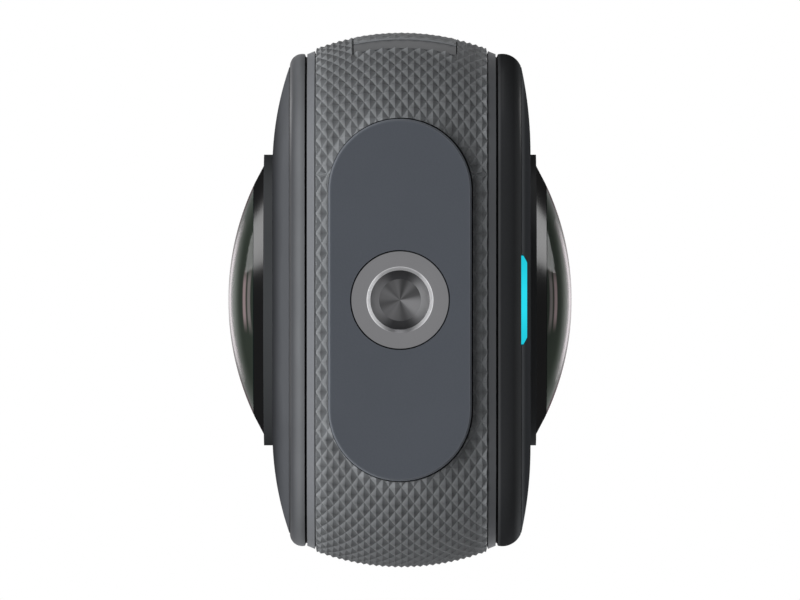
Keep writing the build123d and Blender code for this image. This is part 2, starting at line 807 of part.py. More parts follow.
with BuildPart() as usb_door_seal:
    add(side_slot(usb_length, usb_depth, usb_height, -door_inner, -usb_mouth - plug_gap))
pieces["usb_door_seal"] = usb_door_seal

shell = side_slot(usb_length, usb_depth, usb_height, -usb_mouth, -usb_mouth + usb_body)
shell_hollow = side_slot(usb_length - 2 * usb_shell, usb_depth - 2 * usb_shell, usb_height, -usb_mouth,
                         -usb_mouth + usb_body - usb_floor)
tongue_length = usb_tongue_share * usb_length
with BuildPart() as usb_socket:
    add(shell)
    add(shell_hollow, mode=Mode.SUBTRACT)
    block((-usb_mouth + usb_body - usb_tongue_length, -usb_tongue / 2, usb_height - tongue_length / 2),
          (-usb_mouth + usb_body - usb_floor, usb_tongue / 2, usb_height + tongue_length / 2))
pieces["usb_socket"] = usb_socket

with BuildPart() as usb_board:
    block((-inner_half + joint_gap, usb_board_y, usb_height - usb_length / 2 - plug_margin),
          (-usb_board_reach, usb_board_y + board_thickness, usb_height + usb_length / 2 + plug_margin))
pieces["usb_board"] = usb_board

# Boards, shield, card slot and heat spreader
board_outline = rounded_slab(band_wall + joint_gap, -front_board_face, -bay_outer)
with BuildPart() as main_board:
    block((-main_board_half, -front_board_face, main_board_low),
          (main_board_half, -bay_outer, main_board_high))
    add(board_outline, mode=Mode.INTERSECT)
pieces["main_board"] = main_board

with BuildPart() as processor_shield:
    block((-shield_half, -bay_outer, shield_low), (shield_half, -bay_outer + shield_depth, main_board_high))
    fillet(processor_shield.edges().filter_by(Axis.Y), card_slot_wall)
pieces["processor_shield"] = processor_shield

with BuildPart() as memory_card_slot:
    block((-card_half - card_slot_wall, -bay_outer, ceiling),
          (card_half + card_slot_wall, card_low_y + card_gap + card_slot_back, ceiling + card_slot_length))
    block((-card_half, card_low_y, ceiling),
          (card_half, card_low_y + card_gap, ceiling + card_slot_length - card_slot_wall), Mode.SUBTRACT)
pieces["memory_card_slot"] = memory_card_slot

with BuildPart() as heat_spreader:
    block((-spreader_half, bay_outer, spreader_low),
          (spreader_half, bay_outer + spreader_thickness, main_board_high))
pieces["heat_spreader"] = heat_spreader

# Speaker in a pocket of the rail at +X, microphones and antenna under the top
with BuildPart() as speaker:
    block((speaker_inner, -speaker_half, speaker_low), (inner_half - speaker_gap, speaker_half, speaker_high))
pieces["speaker"] = speaker

with BuildPart() as microphones:
    for x in (-mic_spread, mic_spread):
        with Locations((x, 0, inner_high)):
            Box(mic_length, mic_width, mic_height, align=(Align.CENTER, Align.CENTER, Align.MAX))
pieces["microphones"] = microphones

with BuildPart() as antenna:
    block((-antenna_half, -antenna_depth, inner_high - antenna_thickness),
          (antenna_half, antenna_depth, inner_high))
pieces["antenna"] = antenna

# Block that holds both lens barrels between the rails
deck_top = lens_deck + deck_thickness
carrier_half = rail_inner - joint_gap
barrel_radius = dome_radius
with BuildPart() as lens_carrier:
    block((-carrier_half, -carrier_half_depth, deck_top),
          (carrier_half, carrier_half_depth, 2 * lens_height - deck_top))
    rod_y(barrel_radius + joint_gap / 2, 0, lens_height, -carrier_half_depth, carrier_half_depth,
          Mode.SUBTRACT)
    plate_room = sensor_plate_half + joint_gap
    block((-plate_room, -barrel_foot, lens_height - plate_room),
          (plate_room, barrel_foot, lens_height + plate_room), Mode.SUBTRACT)
pieces["lens_carrier"] = lens_carrier

plate_half = sensor_plate_thickness / 2
with BuildPart() as sensor_plate:
    block((-sensor_plate_half, -plate_half, lens_height - sensor_plate_half),
          (sensor_plate_half, plate_half, lens_height + sensor_plate_half))
pieces["sensor_plate"] = sensor_plate


def dome_level(radius, apex, curve):
    # height of a sphere's surface at some radius from its axis
    return apex - curve + sqrt(curve ** 2 - radius ** 2)


lens_axis = Axis((0, 0, lens_height), (0, 1, 0))
inner_apex = lens_apex - dome_glass
for name, side, face in (("front", -1, front_face), ("rear", 1, rear_face)):
    # sketches hold the radius across and the distance from the camera's middle upwards
    half_plane = Plane(origin=(0, 0, lens_height), x_dir=(1, 0, 0), z_dir=(0, 0, side))
    skirt_foot = carrier_half_depth + barrel_flange

    with BuildPart() as ring:
        with BuildSketch(half_plane):
            with BuildLine():
                Polyline((ring_radius, face), (ring_radius, ring_face), (ring_bore, ring_face),
                         (ring_bore, ring_shelf), (ring_skirt_radius - ring_wall, ring_shelf),
                         (ring_skirt_radius - ring_wall, skirt_foot), (ring_skirt_radius, skirt_foot),
                         (ring_skirt_radius, face), close=True)
            make_face()
        revolve(axis=lens_axis)
        low, high = sorted((side * face, side * (face + pip_height)))
        block((-pip_width / 2, low, lens_height - ring_radius - pip_reach),
              (pip_width / 2, high, lens_height - ring_skirt_radius))
    pieces[name + "_lens_ring"] = ring

    bezel_bore = dome_radius + screw_gap
    with BuildPart() as bezel:
        with BuildSketch(half_plane):
            with BuildLine():
                Polyline((ring_bore - screw_gap, ring_shelf), (ring_bore - screw_gap, ring_face),
                         (bezel_bore + screw_gap, bezel_top), (bezel_bore, bezel_top),
                         (bezel_bore, ring_shelf), close=True)
            make_face()
        revolve(axis=lens_axis)
    pieces[name + "_lens_bezel"] = bezel

    inner_curve = (dome_bowl ** 2 + (inner_apex - dome_seat) ** 2) / (2 * (inner_apex - dome_seat))
    half_bowl = dome_bowl / 2
    with BuildPart() as dome_lens:
        with BuildSketch(half_plane):
            with BuildLine():
                rim_level = dome_level(dome_radius, lens_apex, dome_curve)
                half_level = dome_level(dome_radius / 2, lens_apex, dome_curve)
                ThreePointArc((0, lens_apex), (dome_radius / 2, half_level), (dome_radius, rim_level))
                Polyline((dome_radius, rim_level), (dome_radius, dome_seat), (dome_bowl, dome_seat))
                ThreePointArc((dome_bowl, dome_seat),
                              (half_bowl, dome_level(half_bowl, inner_apex, inner_curve)), (0, inner_apex))
                Line((0, inner_apex), (0, lens_apex))
            make_face()
        revolve(axis=lens_axis)
    pieces[name + "_dome_lens"] = dome_lens

    seat_radius = relay_radius + screw_gap
    cup_radius = inner_lens_radius + joint_gap
    with BuildPart() as barrel:
        with BuildSketch(half_plane):
            with BuildLine():
                Polyline((barrel_radius, barrel_foot), (barrel_radius, carrier_half_depth),
                         (barrel_flange_radius, carrier_half_depth), (barrel_flange_radius, skirt_foot),
                         (barrel_radius, skirt_foot), (barrel_radius, dome_seat), (barrel_mouth, dome_seat),
                         (cup_radius, cone_foot), (cup_radius, inner_lens_seat),
                         (seat_radius, inner_lens_seat), (seat_radius, relay_seat),
                         (barrel_throat, relay_seat), (barrel_throat, barrel_foot), close=True)
            make_face()
        revolve(axis=lens_axis)
    pieces[name + "_lens_barrel"] = barrel

    bowl_apex = inner_lens_apex - inner_lens_glass
    bowl_rise = bowl_apex - inner_lens_seat
    bowl_curve = (inner_lens_bowl ** 2 + bowl_rise ** 2) / (2 * bowl_rise)
    with BuildPart() as inner_lens:
        with BuildSketch(half_plane):
            with BuildLine():
                rim_level = dome_level(inner_lens_radius, inner_lens_apex, inner_lens_curve)
                half_level = dome_level(inner_lens_radius / 2, inner_lens_apex, inner_lens_curve)
                ThreePointArc((0, inner_lens_apex), (inner_lens_radius / 2, half_level),
                              (inner_lens_radius, rim_level))
                Polyline((inner_lens_radius, rim_level), (inner_lens_radius, inner_lens_seat),
                         (inner_lens_bowl, inner_lens_seat))
                ThreePointArc((inner_lens_bowl, inner_lens_seat),
                              (inner_lens_bowl / 2, dome_level(inner_lens_bowl / 2, bowl_apex, bowl_curve)),
                              (0, bowl_apex))
                Line((0, bowl_apex), (0, inner_lens_apex))
            make_face()
        revolve(axis=lens_axis)
    pieces[name + "_inner_lens"] = inner_lens

    relay_curve = (relay_radius ** 2 + relay_crown ** 2) / (2 * relay_crown)
    relay_top = relay_seat + relay_rim
    relay_apex = relay_top + relay_crown
    with BuildPart() as relay_lens:
        with BuildSketch(half_plane):
            with BuildLine():
                Polyline((0, relay_seat), (relay_radius, relay_seat), (relay_radius, relay_top))
                ThreePointArc((relay_radius, relay_top),
                              (relay_radius / 2, dome_level(relay_radius / 2, relay_apex, relay_curve)),
                              (0, relay_apex))
                Line((0, relay_apex), (0, relay_seat))
            make_face()
        revolve(axis=lens_axis)
    pieces[name + "_relay_lens"] = relay_lens

    low, high = sorted((side * plate_half, side * (plate_half + board_thickness)))
    with BuildPart() as sensor_board:
        block((-board_half, low, lens_height - board_half), (board_half, high, lens_height + board_half))
    pieces[name + "_sensor_board"] = sensor_board

    chip_foot = plate_half + board_thickness
    low, high = sorted((side * chip_foot, side * (chip_foot + sensor_thickness)))
    with BuildPart() as image_sensor:
        block((-sensor_half, low, lens_height - sensor_half), (sensor_half, high, lens_height + sensor_half))
    pieces[name + "_image_sensor"] = image_sensor

os.makedirs("parts", exist_ok=True)
for label, piece in pieces.items():
    piece.part.label = label
    export_step(piece.part, f"parts/{label}.step")
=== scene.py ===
import bpy
import json
from math import asin, cos, hypot, pi, radians, sin
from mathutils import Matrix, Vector


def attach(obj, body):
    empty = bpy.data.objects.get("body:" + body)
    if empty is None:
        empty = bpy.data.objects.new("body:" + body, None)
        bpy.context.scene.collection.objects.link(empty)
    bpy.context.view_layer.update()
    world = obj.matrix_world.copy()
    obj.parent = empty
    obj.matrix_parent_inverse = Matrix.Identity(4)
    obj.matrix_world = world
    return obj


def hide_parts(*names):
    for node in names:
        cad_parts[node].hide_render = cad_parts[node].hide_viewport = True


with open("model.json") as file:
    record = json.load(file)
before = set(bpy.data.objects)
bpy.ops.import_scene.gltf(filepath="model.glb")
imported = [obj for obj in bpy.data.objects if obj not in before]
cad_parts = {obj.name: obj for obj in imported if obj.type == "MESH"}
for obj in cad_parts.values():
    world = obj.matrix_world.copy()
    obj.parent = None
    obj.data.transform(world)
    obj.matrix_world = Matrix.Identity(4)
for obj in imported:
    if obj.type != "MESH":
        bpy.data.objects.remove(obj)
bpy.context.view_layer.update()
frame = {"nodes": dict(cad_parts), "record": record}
nodes = frame["nodes"]
print("packed frame loaded,", len(nodes), "nodes")

# Slim 360 degree camera, seen from straight below its foot.
# Lengths in the dictionaries are in millimetres, colours as they show on a screen.
mm = 0.001
camera = "camera"  # the body that the fixed pieces ride on
lensHeight = 89.0


def placed(values):
    return tuple(value * mm for value in values)


def objectMode():
    if bpy.context.mode != "OBJECT":
        bpy.ops.object.mode_set(mode="OBJECT")


def pickOnly(piece):
    objectMode()
    bpy.ops.object.select_all(action="DESELECT")
    piece.select_set(True)
    bpy.context.view_layer.objects.active = piece


def settle(piece):
    # puts the place, turn and scale of a piece into its mesh
    pickOnly(piece)
    bpy.ops.object.transform_apply(location=True, rotation=True, scale=True)
    return piece


def named(name):
    piece = bpy.context.active_object
    piece.name = name
    piece.data.name = name
    return settle(piece)


def editAll(kind="VERT"):
    bpy.ops.object.mode_set(mode="EDIT")
    bpy.ops.mesh.select_mode(type=kind)
    bpy.ops.mesh.select_all(action="SELECT")


def editPicked(piece, kind, test):
    # edit mode with only those corners, edges or faces picked whose corners pass the test
    editAll(kind)
    bpy.ops.mesh.select_all(action="DESELECT")
    bpy.ops.object.mode_set(mode="OBJECT")
    mesh = piece.data
    parts = {"VERT": mesh.vertices, "EDGE": mesh.edges, "FACE": mesh.polygons}[kind]
    for part in parts:
        corners = [part.co] if kind == "VERT" else [mesh.vertices[index].co for index in part.vertices]
        part.select = test(*corners)
    bpy.ops.object.mode_set(mode="EDIT")


def closed(piece, merge=0.002, angle=30):
    # welds a piece, turns its faces outwards and shades it
    pickOnly(piece)
    editAll()
    bpy.ops.mesh.remove_doubles(threshold=merge * mm)
    bpy.ops.mesh.normals_make_consistent(inside=False)
    objectMode()
    bpy.ops.object.shade_smooth_by_angle(angle=radians(angle))
    return piece


def applied(piece, kind, **settings):
    pickOnly(piece)
    modifier = piece.modifiers.new(kind.lower(), kind)
    for key, value in settings.items():
        setattr(modifier, key, value)
    bpy.ops.object.modifier_apply(modifier=modifier.name)
    return piece


def combined(piece, tool, operation):
    applied(piece, "BOOLEAN", operation=operation, solver="EXACT", object=tool)
    bpy.data.objects.remove(tool)
    return piece


def block(name, low, high):
    middle = [(a + b) / 2 for a, b in zip(low, high)]
    size = [b - a for a, b in zip(low, high)]
    bpy.ops.mesh.primitive_cube_add(size=1, location=placed(middle), scale=placed(size))
    return named(name)


def rod(name, radius, length, middle, turn=(0, 0, 0), corners=48):
    bpy.ops.mesh.primitive_cylinder_add(vertices=corners, radius=radius * mm, depth=length * mm,
                                        location=placed(middle), rotation=turn)
    return named(name)


def oblong(name, length, width, height):
    # upright block with round ends, its long way along X
    tool = rod(name, width / 2, height, (0, 0, 0), (0, 0, pi / 96), 96)
    shift = (length - width) / 2 * mm
    for side in (-1, 1):
        editPicked(tool, "VERT", lambda spot: spot.x * side > 0)
        bpy.ops.transform.translate(value=(side * shift, 0, 0))
    objectMode()
    return tool


def moved(piece, place, turn=(0, 0, 0)):
    piece.location = placed(place)
    piece.rotation_euler = turn
    return settle(piece)


def joined(pieces):
    pickOnly(pieces[0])
    for piece in pieces:
        piece.select_set(True)
    bpy.ops.object.join()
    return pieces[0]


def turned(name, profile, centre=(0, 0, 0), side=0, steps=128, cap=False, angle=30):
    # a circle drawn out along its profile of radius and height; side 0 is upright, else along Y
    def level(height):
        x, y, z = centre
        return placed((x, y + side * height, z) if side else (x, y, z + height))

    radius, height = profile[0]
    bpy.ops.mesh.primitive_circle_add(vertices=steps, radius=radius * mm, location=level(height),
                                      rotation=(pi / 2 if side else 0, 0, 0))
    piece = named(name)
    editAll("EDGE")
    for nextRadius, nextHeight in profile[1:]:
        rise = (nextHeight - height) * mm
        bpy.ops.mesh.extrude_edges_move(TRANSFORM_OT_translate={
            "value": (0, side * rise, 0) if side else (0, 0, rise)})
        share = max(nextRadius, mm) / radius
        bpy.ops.transform.resize(value=(share, 1, share) if side else (share, share, 1),
                                 center_override=level(nextHeight))
        radius, height = max(nextRadius, mm), nextHeight
    bpy.ops.mesh.select_all(action="SELECT")
    bpy.ops.mesh.remove_doubles(threshold=2 * mm * mm)
    if cap:
        bpy.ops.mesh.select_all(action="DESELECT")
        bpy.ops.mesh.select_non_manifold(use_wire=False, use_multi_face=False, use_verts=False)
        bpy.ops.mesh.edge_face_add()
    return closed(piece, angle=angle)


def paint(red, green, blue):
    # screen colour as the linear colour that a shader takes
    def linear(value):
        value = value / 255
        return value / 12.92 if value < 0.04 else ((value + 0.055) / 1.055) ** 2.4
    return linear(red), linear(green), linear(blue), 1.0


white = paint(255, 255, 255)


class Wire:
    # a socket that can stand in a sum; each sum adds its math nodes
    def __init__(self, finish, socket):
        self.finish = finish
        self.socket = socket

    def reckon(self, operation, *values):
        return self.finish.node("ShaderNodeMath", {"operation": operation}, list(values))

    def __add__(self, other):
        return self.reckon("ADD", self, other)

    def __radd__(self, other):
        return self.reckon("ADD", other, self)

    def __sub__(self, other):
        return self.reckon("SUBTRACT", self, other)

    def __rsub__(self, other):
        return self.reckon("SUBTRACT", other, self)

    def __mul__(self, other):
        return self.reckon("MULTIPLY", self, other)

    def __rmul__(self, other):
        return self.reckon("MULTIPLY", other, self)

    def __pow__(self, other):
        return self.reckon("POWER", self, other)

    def __abs__(self):
        return self.reckon("ABSOLUTE", self)

    def over(self, other):
        return self.reckon("MAXIMUM", self, other)


class Finish:
    # one material and the ways to add its nodes
    def __init__(self, name):
        self.material = bpy.data.materials.new(name)
        self.material.use_nodes = True
        self.tree = self.material.node_tree
        self.tree.nodes.clear()
        self.place = self.node("ShaderNodeTexCoord", {}, {}, "Object")

    def node(self, kind, settings, values, out=0):
        made = self.tree.nodes.new(kind)
        for key, value in settings.items():
            setattr(made, key, value)
        for key, value in (values.items() if isinstance(values, dict) else enumerate(values)):
            if isinstance(value, Wire):
                self.tree.links.new(value.socket, made.inputs[key])
            else:
                made.inputs[key].default_value = value
        return Wire(self, made.outputs[out])

    def noise(self, scale, detail=2.0, where=None):
        return self.node("ShaderNodeTexNoise", {}, {
            "Vector": where or self.place, "Scale": scale, "Detail": detail, "Roughness": 0.55})

    def axes(self):
        # X, Y and Z in millimetres
        split = self.node("ShaderNodeSeparateXYZ", {}, [self.place])
        outputs = split.socket.node.outputs
        return [Wire(self, output) * 1000 for output in outputs]

    def joinAxes(self, x, y, z):
        return self.node("ShaderNodeCombineXYZ", {}, [x, y, z])

    def distance(self, x, y):
        return (x * x + y * y) ** 0.5

    def smooth(self, value, low, high):
        return self.node("ShaderNodeMapRange", {"interpolation_type": "SMOOTHSTEP"}, {
            "Value": value, "From Min": low, "From Max": high, "To Min": 0.0, "To Max": 1.0})

    def blend(self, mask, first, second):
        return self.node("ShaderNodeMix", {"data_type": "RGBA"}, {0: mask, 6: first, 7: second}, 2)

    def shaded(self, tone, share):
        tone = tone if isinstance(tone, Wire) else tone[:3]
        return self.node("ShaderNodeVectorMath", {"operation": "SCALE"}, {0: tone, 3: share})

    def bumped(self, height, depth):
        return self.node("ShaderNodeBump", {}, {
            "Height": height, "Distance": depth * mm, "Strength": 1.0})

    def principled(self, tone, rough, normal, fixed):
        return self.node("ShaderNodeBsdfPrincipled", {}, {
            "Base Color": tone, "Roughness": rough, "Normal": normal, **fixed})

    def mixed(self, share, first, second):
        return self.node("ShaderNodeMixShader", {}, [share, first, second])

    def close(self, tone, rough, normal, fixed, polish=None):
        # polish is a share of even gloss, with its roughness
        shader = self.principled(tone, rough, normal, fixed)
        if polish:
            share, glossRough = polish
            gloss = self.principled(white, glossRough, normal, {"Metallic": 1.0})
            shader = self.mixed(share, shader, gloss)
        return self.ended(shader)

    def ended(self, shader):
        output = self.tree.nodes.new("ShaderNodeOutputMaterial")
        self.tree.links.new(shader.socket, output.inputs["Surface"])
        return self.material


def dressed(piece, material):
    if piece.material_slots:
        for slot in piece.material_slots:
            slot.material = material
    else:
        piece.data.materials.append(material)


def added(piece, body, slot, material, *replaced):
    # a new piece with its body, its finish and the nodes that it stands for
    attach(piece, body)
    if replaced:
        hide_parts(*replaced)
    dressed(piece, material)
    return piece


moulding = {
    "grain": 5200, "speck": 0.16, "depth": 0.006,      # fine spark grain
    "cloud": 130, "drift": 0.14,                        # slow change of tone
    "rough": 0.5, "spread": 0.16,
    "handled": (0.45, 0.75), "handledScale": 0.4, "handledShare": 0.4,      # patches smoothed by hands
    "tips": (0.47, 0.56),                               # pointiness from the valleys to the tips, for painted shade in the valleys
    "wearAndPaintedLight": 0.5, "wearAndPaintedLightTone": paint(150, 152, 155),         # tone of edges with painted highlights and painted shade, on the foot also wear
    "seam": paint(26, 27, 29),                          # painted shadow in a seam
    "fixed": {"Specular IOR Level": 0.3},
}


def moulded(name, changes, wearAndPaintedLight=None, seam=None):
    # grained plastic, paint or rubber; the first mask marks edges that carry painted highlights and
    # painted shade, on the foot also wear, the second a painted shadow in a seam
    look = {**moulding, **changes}
    finish = Finish(name)
    grain = finish.noise(look["grain"], 2)
    cloud = finish.noise(look["cloud"], 4)
    handled = finish.smooth(finish.noise(look["cloud"] * look["handledScale"], 5), *look["handled"])
    share = (1 - look["drift"] / 2) + cloud * look["drift"] + (grain - 0.5) * look["speck"]
    if "paintedValleyShade" in look:    # painted shade: tips lighter, valleys darker
        point = finish.node("ShaderNodeNewGeometry", {}, {}, "Pointiness")
        share = share + (finish.smooth(point, *look["tips"]) - 0.5) * look["paintedValleyShade"]
    tone = finish.shaded(look["tone"], share)
    # painted highlights and painted shade along edges, on the foot also wear
    if wearAndPaintedLight:
        tone = finish.blend(wearAndPaintedLight(finish) * look["wearAndPaintedLight"] * (0.6 + cloud * 0.8), tone, look["wearAndPaintedLightTone"])
    # painted shadow in a seam
    if seam:
        tone = finish.blend(seam(finish), tone, look["seam"])
    rough = look["rough"] + (cloud - 0.5) * look["spread"] \
        - handled * look["spread"] * look["handledShare"]
    return finish.close(tone, rough, finish.bumped(grain, look["depth"]), look["fixed"],
                        look.get("polish"))


turning = {
    "rings": 9, "ringDepth": 0.004, "speck": 0.1, "drift": 0.12, "cloud": 220,
    "rough": 0.32, "spread": 0.14, "fixed": {"Metallic": 1.0},
}


def machined(name, changes, centre=(0, 0), upright=True, shadeBy=None):
    # metal with fine tool rings round an axis through the centre
    look = {**turning, **changes}
    finish = Finish(name)
    x, y, z = finish.axes()
    across, along = (y - centre[1], z) if upright else (z - centre[1], y)
    radius = finish.distance(x - centre[0], across)
    rings = finish.noise(1.0, 3, finish.joinAxes(radius * look["rings"], along * look["rings"], 0.0))
    cloud = finish.noise(look["cloud"], 3)
    share = (1 - look["drift"] / 2) + cloud * look["drift"] + (rings - 0.5) * look["speck"]
    tone = finish.shaded(look["tone"], share)
    if shadeBy:
        tone = shadeBy(finish, tone, radius, x, y, z)
    rough = look["rough"] + (cloud - 0.5) * look["spread"] + (rings - 0.5) * look["spread"]
    return finish.close(tone, rough, finish.bumped(rings, look["ringDepth"]), look["fixed"],
                        look.get("polish"))


glazing = {
    "smears": 160, "smeared": (0.5, 0.8), "smudge": 0.03,       # faint smudges
    "waves": 60, "wave": 0.0006, "rough": 0.015,
    "fixed": {"Transmission Weight": 1.0, "IOR": 1.5},
}


def smudges(finish):
    return finish.smooth(finish.noise(glazing["smears"], 4), *glazing["smeared"])


def glazed(name, changes):
    # clear glass with the faintest smudges
    look = {**glazing, **changes}
    finish = Finish(name)
    smear = smudges(finish)
    wave = finish.noise(look["waves"], 2)
    tone = finish.shaded(white, 1 - smear * look["smudge"])
    return finish.close(tone, look["rough"] + smear * look["smudge"], finish.bumped(wave, look["wave"]),
                        look["fixed"])


paintedDome = {
    # how far the surface turns away: where the painted interior closes over the glass, its clear rim and
    # its dark line
    "shut": (0.3, 0.5), "rim": (0.7, 0.92), "line": (0.86, 0.94),
    # distance from the lens axis over which the line grows and the rim fades
    "lineReach": (-3.0, 6.0), "lineShare": 0.7, "fadeReach": (4.5, 9.5), "fadeShare": 0.75,
    # two faint painted reflections of the inner element, as arcs: turn, half width, half length across
    # the body, tone
    "arcs": ((0.665, 0.022, 3.1, paint(132, 117, 118)), (0.622, 0.02, 3.4, paint(108, 103, 102))),
    "arcCore": 0.3, "arcMiddle": 0.4,
    # painted: the teal stands in for the dark interior seen through the glass, its paling towards the rim
    # is a painted reflection, and the plum is a dark line where the glass turns most away
    "teal": paint(43, 49, 43), "pale": paint(102, 108, 102), "paling": (0.7, 0.8),
    "plum": paint(58, 30, 38), "clear": paint(248, 230, 239),
    # the front dome, on the shaded side, is painted lighter
    "front": (8.0, 9.0), "frontPaintedLight": 0.85,
    "rough": 0.3, "dulled": 0.1, "clearRough": 0.01, "wave": 0.0004,
    "fixed": {"Specular IOR Level": 0.0}, "gloss": 0.004, "glossRough": 0.05,
}


def paintedDomeGlass():
    # dome glass that turns opaque where it turns away, painted there dark green with the interior seen
    # through it and with painted reflections, and a clear pinkish rim
    look = paintedDome
    finish = Finish("domeGlassPaintedInterior")
    facing = finish.node("ShaderNodeLayerWeight", {}, {"Blend": 0.5}, "Facing")
    smear = smudges(finish)
    smudge = smear * glazing["smudge"]
    normal = finish.bumped(finish.noise(glazing["waves"], 2), look["wave"])
    x, y, z = finish.axes()
    radius = finish.distance(x, z - lensHeight)
    outer = finish.smooth(radius, *look["lineReach"]) * look["lineShare"]
    line = finish.smooth(facing, *look["line"]) * outer
    fade = finish.smooth(radius, *look["fadeReach"]) * look["fadeShare"]
    rim = finish.smooth(facing, *look["rim"]) ** 2 * (1 - fade) * (1 - line)
    shut = finish.smooth(facing, *look["shut"])
    tone = finish.blend(finish.smooth(facing, *look["paling"]) * (1 - fade), look["teal"], look["pale"])
    tone = finish.blend(finish.smooth(facing, *look["line"]), tone, look["plum"])
    # painted reflections of the inner element
    for turn, half, long, paintedArcTone in look["arcs"]:
        paintedArc = (1 - finish.smooth(abs(facing - turn), half * look["arcCore"], half)) \
            * (1 - finish.smooth(abs(x), long * look["arcMiddle"], long))
        tone = finish.blend(paintedArc, tone, paintedArcTone)
    dull = smear * look["dulled"]
    # painted light: the front dome lighter
    share = 1 - dull + finish.smooth(0 - y, *look["front"]) * look["frontPaintedLight"]
    dark = finish.principled(finish.shaded(tone, share), look["rough"] + dull, normal, look["fixed"])
    gloss = finish.principled(white, look["glossRough"] + smudge, normal, {"Metallic": 1.0})
    coat = finish.mixed(look["gloss"], dark, gloss)
    clear = finish.principled(finish.shaded(look["clear"], 1 - smudge), look["clearRough"] + smudge,
                              normal, glazing["fixed"])
    return finish.ended(finish.mixed(shut * (1 - rim), clear, coat))


# Masks of painted light and shade: painted highlights along the front frame's and panels' edges, a lit
# flat on the rear frame, a painted shadow in the rear seam and painted shade on the front side, and the
# foot's worn edge which also carries a painted highlight, with the distances over which each runs
edges = {
    "footStraight": 9.4, "footRadius": 6.15, "footWearAndHighlightReach": (0.03, 0.3), "footRise": (0.2, 0.6),
    "frontSeamHighlight": (8.47, 8.75), "frontOuterHighlight": (9.75, 10.3), "frontPanelHighlight": (10.5, 10.85),
    "rearFrameLitFlat": (8.5, 9.4), "rearSeamShadow": (9.37, 9.45), "rearPanelHighlight": (9.9, 11.2), "frontSideShade": (-8.0, -6.0),
}


# lighter along the foot plate's outline near its face: worn paint and a painted highlight
def footEdgeWearAndHighlight(finish):
    x, y, z = finish.axes()
    reach = (abs(x) - edges["footStraight"]).over(0.0)
    inside = edges["footRadius"] - finish.distance(reach, y)
    return (1 - finish.smooth(inside, *edges["footWearAndHighlightReach"])) * (1 - finish.smooth(z, *edges["footRise"]))


# painted highlights on the front frame, beside the seam and along its outer edge
def frontFrameHighlights(finish):
    y = abs(finish.axes()[1])
    return (1 - finish.smooth(y, *edges["frontSeamHighlight"])).over(finish.smooth(y, *edges["frontOuterHighlight"]))


# painted highlight along the front panel's edge by the frame
def frontPanelHighlight(finish):
    return 1 - finish.smooth(abs(finish.axes()[1]), *edges["frontPanelHighlight"])


# painted highlight on the rear panel, lighter towards the frame
def rearPanelHighlight(finish):
    return 1 - finish.smooth(finish.axes()[1], *edges["rearPanelHighlight"])


# painted light on the rear frame: lighter on its flat beside the band, darker on the rounding
def rearFrameLitFlat(finish):
    return 1 - finish.smooth(finish.axes()[1], *edges["rearFrameLitFlat"])


# painted shadow in the seam between the rear frame and the panel
def rearSeamShadow(finish):
    return finish.smooth(finish.axes()[1], *edges["rearSeamShadow"])


# painted shade: the band's front side darker
def frontSideShade(finish):
    return 1 - finish.smooth(finish.axes()[1], *edges["frontSideShade"])


